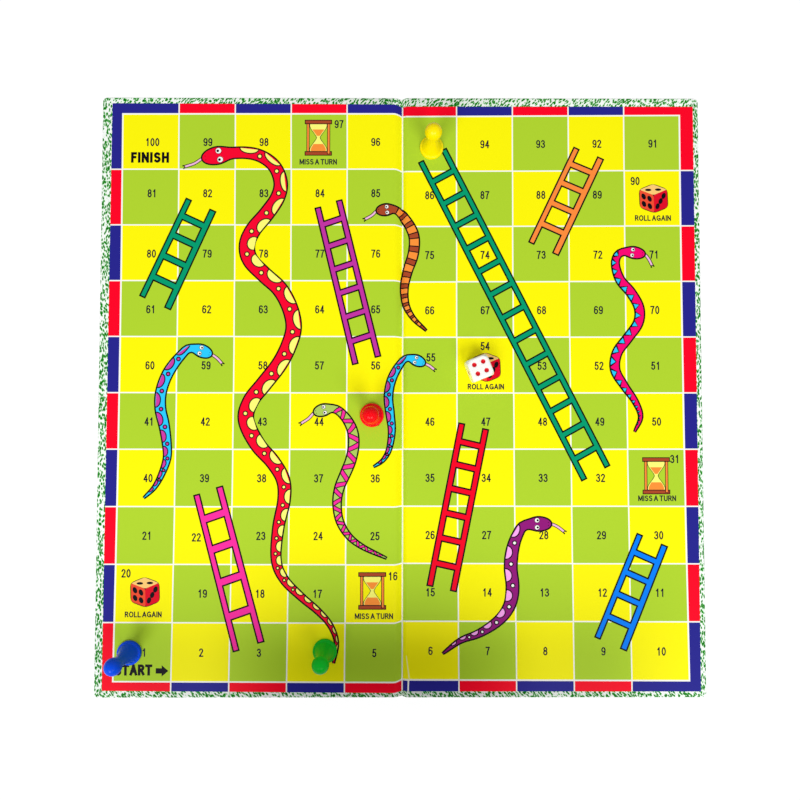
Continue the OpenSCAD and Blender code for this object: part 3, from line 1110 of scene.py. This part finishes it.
def half_cover(name, side, shoulder):
    """The paper of the left (-1) or right (+1) half. Each ring of points follows the outline at one
    inset, with a round corner whose radius shrinks as the ring moves in. The first ring is closed by one
    face, the back. The right half is a mirror image, so its faces run the other way round."""
    rings = []
    for inset, height in edge_profile(board_front):
        radius = max(corner_radius - inset, sharpest_corner)
        x = -half_width + inset + radius
        y = half_depth - inset - radius
        end = -float(paper_end(height, shoulder))
        line = joined(path((end, -half_depth + inset)), bow(x, -y, radius, radius, 270, 180),
                      bow(x, y, radius, radius, 180, 90), path((end, half_depth - inset)))
        rings.append(np.column_stack([line * (-side, 1), np.full(len(line), height)]))
    around = len(rings[0])
    faces = between_rings(len(rings), around) + [list(range(around))]
    return into_blender(name, np.vstack(rings), [face[::-side] for face in faces], True)


print("the paper is", cover_paper, "mm thick and turned in by", turn_in)

# %% [markdown]
# ## Paper across the fold
# Head and tail of the spine are wrapped with the same paper, turned in over the fold. On the front it
# follows the printed sheet down into the dip, so the rim runs on across the fold with a shallow notch.

# %% Cover the spine
under_print = paper + 0.02


def spine_paper(name, columns, side, shoulder):
    """One side of the spine's paper: a band round both ends of the board for each column, its front as
    high as the underside of the print. On the back the columns close up to the hinge."""
    rings = []
    for x in columns:
        inset, height = edge_profile(float(dip(x)) - under_print)[::-1].T
        heights = np.concatenate([height, height[::-1]])
        y = np.concatenate([-half_depth + inset, half_depth - inset[::-1]])
        share = (x - still_x) / (side * shoulder - still_x)
        at = still_x + share * (side * paper_end(heights, shoulder) - still_x)
        rings.append(np.stack([at, y, heights], -1))
    faces = [(a, d, c, b) for a, b, c, d in between_rings(len(rings), len(rings[0]))]
    return into_blender(name, np.vstack(rings), faces, True)


right_of_split = np.append(left_cuts[still:], right_cuts[1:])
covers = {
    "cover_left": half_cover("cover_left", -1, -fold_from),
    "cover_right": half_cover("cover_right", 1, fold_to),
    "spine_paper_left": spine_paper("spine_paper_left", left_cuts[:still + 1], -1, -fold_from),
    "spine_paper_right": spine_paper("spine_paper_right", right_of_split, 1, fold_to),
}
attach(covers["cover_left"], "left_panel")
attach(covers["cover_right"], "right_panel")
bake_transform(covers["spine_paper_left"])
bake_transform(covers["spine_paper_right"])
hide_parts("left_cover")
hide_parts("right_cover")
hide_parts("spine_cover")
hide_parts("spine_cover")
print(", ".join(covers))

# %% [markdown]
# ## Speckled finish
# The cover paper is printed with short green dashes on white, like combed fur. A Voronoi pattern whose
# cells are stretched along one direction gives the dashes, and a slow noise bends that direction from
# place to place. Between a cell's dark middle and the white lies a pale green ring, as the ink has
# spread there. Along the near and far edges the dashes lie slantwise.

# %% Speckle the paper
dash_width = 0.85
dash_length = 1.8
wander = 0.9
diagonal = math.radians(42)
dash_colours = {0.42: (14, 138, 14), 0.48: (165, 232, 160), 0.6: (250, 253, 250)}
darkest_tint = (135, 200, 140)


def speckled_finish(name):
    """Dashes from a stretched Voronoi pattern: near a cell's middle dark green, further out pale green,
    and beyond that white. Each cell's own random number makes its green darker or lighter."""
    made = grained_finish(name, (1, 1, 1, 1), 0.5, 700, 0.02 * mm, 0.1)
    tree = made.node_tree
    place = add_node(tree, "TexCoord", {}).outputs["Object"]
    slow = add_node(tree, "TexNoise", {"Vector": place, "Scale": 95, "Detail": 1}).outputs["Color"]
    centred = calculate(tree, "SUBTRACT", slow, (0.5, 0.5, 0.5), kind="VectorMath")
    furthest = (wander * 4 * mm, 0, wander * mm)
    shifted = calculate(tree, "MULTIPLY_ADD", centred, furthest, place, kind="VectorMath")

    apart = add_node(tree, "SeparateXYZ", {"Vector": place}).outputs
    across, along = [calculate(tree, "ABSOLUTE", apart[axis]) for axis in "XY"]
    at_ends = calculate(tree, "GREATER_THAN", along, across)
    which_end = calculate(tree, "MULTIPLY", at_ends, calculate(tree, "SIGN", apart["Y"]))
    angle = calculate(tree, "MULTIPLY", which_end, diagonal)
    slanted = add_node(tree, "VectorRotate", {"Vector": shifted, "Angle": angle}, rotation_type="Z_AXIS")
    per_metre = (1 / (dash_width * mm), 1 / (dash_length * mm), 1 / (dash_width * mm))
    stretched = calculate(tree, "MULTIPLY", slanted.outputs[0], per_metre, kind="VectorMath")

    cells = add_node(tree, "TexVoronoi", {"Vector": stretched, "Scale": 1}).outputs
    ramp = add_node(tree, "ValToRGB", {"Fac": cells["Distance"]})
    stops = ramp.color_ramp.elements
    stops.new(0.5)
    for stop, (position, colour) in zip(stops, dash_colours.items()):
        stop.position = position
        stop.color = from_screen(*colour)
    tone = add_node(tree, "SeparateColor", {"Color": cells["Color"]}).outputs[0]
    plain = ramp.outputs["Color"]
    tinted = add_node(tree, "Mix", {0: tone, 6: plain, 7: from_screen(*darkest_tint)},
                      data_type="RGBA", blend_type="MULTIPLY").outputs[2]
    edge = add_node(tree, "MapRange", {"Value": cells["Distance"], "From Min": 0.47, "From Max": 0.6})
    white_kept = add_node(tree, "Mix", {0: edge.outputs["Result"], 6: tinted, 7: plain}, data_type="RGBA")
    feed(tree.nodes["Principled BSDF"], {"Base Color": white_kept.outputs[2]})
    return made


speckle = speckled_finish("speckled_cover_paper")
for cover in covers.values():
    cover.data.materials.append(speckle)
    thicken(cover, cover_paper)
grey = grained_finish("greyboard", from_screen(150, 143, 128), 0.9, 1800, 0.08 * mm, 0.2)
for node in ("left_core", "right_core"):
    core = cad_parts[node]
    core.data.materials.clear()
    core.data.materials.append(grey)
print("speckled paper on", len(covers), "pieces; greyboard on the two boards")

# %% [markdown]
# ## Pawns
# A pawn is one hollow moulding: a foot with a rounded shoulder, a flank that sweeps up to a thin neck,
# and a ball. Turned round its axis, one outline makes inside and outside together. The two halves of the
# mould meet in a fine ridge from foot to crown, so the outline swells very slightly at two angles.

# %% Turn the pawns
foot = 6.5
rim = 1.0
shoulder_bend = 1.0
neck = 2.9
neck_height = 14.6
ball = 4.5
pawn_height = 24.0
wall = 1.3
hollow_height = 11.0
sole_bend = 0.2
rim_bend = 0.15
neck_bend = 0.7
flank_foot = 2.5
crown_hole = 0.9


def flank(heights, inset):
    """The flared side as (radius, height): one arc that stands upright at the neck and meets the foot's
    shoulder, moved inwards by inset."""
    run = foot - shoulder_bend - neck
    rise = neck_height - rim - shoulder_bend
    arc = (run * run + rise * rise) / (2 * run)
    return np.stack([neck + arc - np.sqrt((arc + inset) ** 2 - (heights - neck_height) ** 2), heights], -1)


def pawn_outline():
    """The closed outline from the crown down the outside, under the foot and up the inside, as
    (radius, height)."""
    ball_middle = pawn_height - ball
    inner_foot = foot - wall
    crown = bow(0, ball_middle, ball, ball, 90, -47, 34)[1:]
    under_ball = ball_middle - math.sqrt(ball**2 - neck**2)
    neck_soft = bend_between(crown[-1], (neck, under_ball), (neck, under_ball - neck_bend))[1:]
    side = flank(np.linspace(neck_height, flank_foot, 26), 0)
    above_foot = bend_between(side[-1], (foot - shoulder_bend, rim + shoulder_bend),
                              (foot - 0.7, rim + 0.95))[1:]
    foot_round = bow(foot - shoulder_bend, rim, shoulder_bend, shoulder_bend, 68, 0, 7)
    sole = joined(bend_between((foot, sole_bend), (foot, 0), (foot - sole_bend, 0), 4),
                  bend_between((inner_foot + rim_bend, 0), (inner_foot, 0), (inner_foot, rim_bend), 3))
    inside = joined(path((inner_foot, rim - 0.1)), flank(np.linspace(rim, hollow_height - 0.6, 18), wall))
    roof = bend_between(inside[-1], (inside[-1, 0] - 0.1, hollow_height), (crown_hole, hollow_height))[1:]
    return joined(crown, neck_soft, side, above_foot, foot_round, sole, inside, roof)


print("the pawn's outline has", len(pawn_outline()), "points")

# %% Stand them on the board
around_steps = 96
seam_height = 0.035
seam_width = 0.16
seam_angles = (np.pi / 2, 3 * np.pi / 2)
close_to_seam = np.radians([-2.0, -1.2, -0.6, 0.6, 1.2, 2.0])
pawn_colours = {"yellow": (255, 231, 0), "red": (252, 4, 20), "blue": (3, 80, 242), "green": (0, 192, 40)}


def turned(name, middle, base):
    """The outline turned round a vertical axis through middle: x = radius cos a, y = radius sin a. Near
    a seam the outside grows by a bell curve of the distance from the seam. Both ends close in a point."""
    outline = pawn_outline()
    angles = np.linspace(0, 2 * np.pi, around_steps, endpoint=False)
    angles = np.sort(np.concatenate([angles] + [seam + close_to_seam for seam in seam_angles]))
    off_seam = np.min([np.abs(angles - seam) for seam in seam_angles], axis=0)
    outside = np.arange(len(outline)) < np.argmax(outline[:, 1] < 0.1)
    arc = off_seam * outline[:, :1]
    radius = outline[:, :1] + seam_height * np.exp(-((arc / seam_width) ** 2)) * outside[:, None]
    points = np.stack([middle[0] + radius * np.cos(angles), middle[1] + radius * np.sin(angles),
                       base + np.repeat(outline[:, 1:], len(angles), axis=1)], -1).reshape(-1, 3)
    around = len(angles)
    faces = between_rings(len(outline), around, closed=True)
    crown, roof = len(points), len(points) + 1
    last = len(points) - around
    faces += [(crown, j, (j + 1) % around) for j in range(around)]
    faces += [(roof, last + (j + 1) % around, last + j) for j in range(around)]
    ends = [(*middle, base + pawn_height), (*middle, base + hollow_height)]
    return into_blender(name, np.vstack([points, ends]), faces, True)


for colour, shade in pawn_colours.items():
    node = colour + "_pawn"
    low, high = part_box(node)
    middle = ((low.x + high.x) / 2 / mm, (low.y + high.y) / 2 / mm)
    pawn = turned("moulded_pawn_" + colour, middle, low.z / mm)
    plastic = grained_finish(colour + "_plastic", from_screen(*shade), 0.22, 450, 0.012 * mm, 0.1)
    pawn.data.materials.append(plastic)
    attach(pawn, node)
    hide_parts(node)
    print(colour, "pawn at", [round(value, 1) for value in middle])

# %% [markdown]
# ## Die
# A moulded die is a cube with narrow rounded edges and corners that are rounder still. Its spots are
# shallow dishes filled with red paint. Each face is worked out flat, with the spots' rims as exact
# circles in the triangulation, and then carried onto the rounded cube; the six faces meet edge to edge.

# %% Shape the die
die_half = 6.0
die_edge = 1.0
corner_ball = 8.8
corner_softness = 14
spot_radius = 1.25
spot_depth = 0.45
spot_step = 2.5
six_step = 2.9
clear_of_spot = 0.12
ring_points = 32
ring_shares = (1, 0.93, 0.7, 0.4)
die_turn = math.radians(21.8)

one = [(0, 0)]
two = [(-1, -1), (1, 1)]
four = two + [(-1, 1), (1, -1)]
long_step = six_step / spot_step
six_spots = [(x, y * long_step) for x in (-1, 1) for y in (-1, 0, 1)]
# Each face has its directions across and up, and its spots.
die_faces = {
    "four_up": ((1, 0, 0), (0, 1, 0), four),
    "three_down": ((1, 0, 0), (0, -1, 0), one + two),
    "five_near": ((1, 0, 0), (0, 0, 1), one + four),
    "two_far": ((1, 0, 0), (0, 0, -1), two),
    "six_right": ((0, 0, -1), (0, 1, 0), six_spots),
    "one_left": ((0, 0, 1), (0, 1, 0), one),
}


def round_off(points):
    """Carries points of the plain cube onto the rounded one. First each point is drawn towards the core
    cube that the edge radius rolls on; then the distance from the middle is softly limited to the
    corner ball, as minus the logarithm of a sum of two exponentials."""
    core = np.clip(points, -(die_half - die_edge), die_half - die_edge)
    away = points - core
    length = np.linalg.norm(away, axis=1, keepdims=True)
    rounded_points = core + away / np.maximum(length, 1e-9) * die_edge
    reach = np.linalg.norm(rounded_points, axis=1, keepdims=True)
    soft = -np.logaddexp(-corner_softness * reach, -corner_softness * corner_ball) / corner_softness
    return rounded_points * np.minimum(reach, soft) / reach


def nearest_spot(places, centres):
    """How far each point of a flat face is from the middle of the spot nearest to it."""
    return np.min(np.linalg.norm(places[:, None] - centres[None], axis=2), axis=1)


def face_plan(spots):
    """One face laid flat: a grid that is finer over the rounded edges, and four rings for each spot.
    Returns the flat points, the triangles, how deep each point is sunk, and how far it is from the
    nearest spot's middle."""
    bends = die_half - die_edge + die_edge * np.tan(np.radians(np.linspace(0, 45, 7)))
    lines = np.concatenate([-bends[::-1], np.linspace(-bends[0], bends[0], 13)[1:-1], bends])
    grid = np.stack(np.meshgrid(lines, lines), -1).reshape(-1, 2)
    centres = np.array(spots) * spot_step
    grid = grid[nearest_spot(grid, centres) > spot_radius + clear_of_spot]
    rings = [circle(middle, spot_radius * share, ring_points) for middle in centres for share in ring_shares]
    every = np.vstack([grid] + rings)
    ring_numbers = np.arange(len(grid), len(every)).reshape(-1, ring_points).tolist()
    points = [Vector(point) for point in every.tolist()]
    out, _, triangles, _, _, _ = delaunay_2d_cdt(points, [], ring_numbers, 0, 1e-5, True)
    places = np.array([tuple(point) for point in out])
    nearest = nearest_spot(places, centres)
    dish = (spot_radius**2 + spot_depth**2) / (2 * spot_depth)
    floor = np.sqrt(np.maximum(dish**2 - nearest**2, 0)) - (dish - spot_depth)
    return places, triangles, np.where(nearest < spot_radius, floor, 0.0), nearest


low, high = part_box("die")
die_middle = np.array([(low.x + high.x) / 2 / mm, (low.y + high.y) / 2 / mm, (low.z + high.z) / 2 / mm])
cosine, sine = math.cos(die_turn), math.sin(die_turn)
turn = np.array([[cosine, sine, 0], [-sine, cosine, 0], [0, 0, 1]])
die_points, die_triangles, die_ink = [], [], []
for across, up, spots in die_faces.values():
    across, up = np.array(across, float), np.array(up, float)
    out = np.cross(across, up)
    places, triangles, sunk, nearest = face_plan(spots)
    solid = round_off(places[:, :1] * across + places[:, 1:] * up + die_half * out) - sunk[:, None] * out
    start = sum(len(part) for part in die_points)
    die_points.append(solid)
    for triangle in triangles:
        die_triangles.append([start + corner for corner in triangle])
        die_ink.append(int(max(nearest[corner] for corner in triangle) < spot_radius * 1.001))
die = into_blender("spotted_die", np.vstack(die_points) @ turn + die_middle, die_triangles, True)
die.data.materials.append(grained_finish("white_plastic", from_screen(250, 249, 244), 0.22, 500, 0.01 * mm))
die.data.materials.append(grained_finish("red_paint", from_screen(214, 0, 24), 0.3, 900, 0.02 * mm, 0.2))
die.data.polygons.foreach_set("material_index", die_ink)
merge = bmesh.new()
merge.from_mesh(die.data)
bmesh.ops.remove_doubles(merge, verts=merge.verts, dist=0.002 * mm)
merge.to_mesh(die.data)
merge.free()
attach(die, "die")
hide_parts("die", "die_pips")
print("die:", len(die.data.polygons), "triangles")
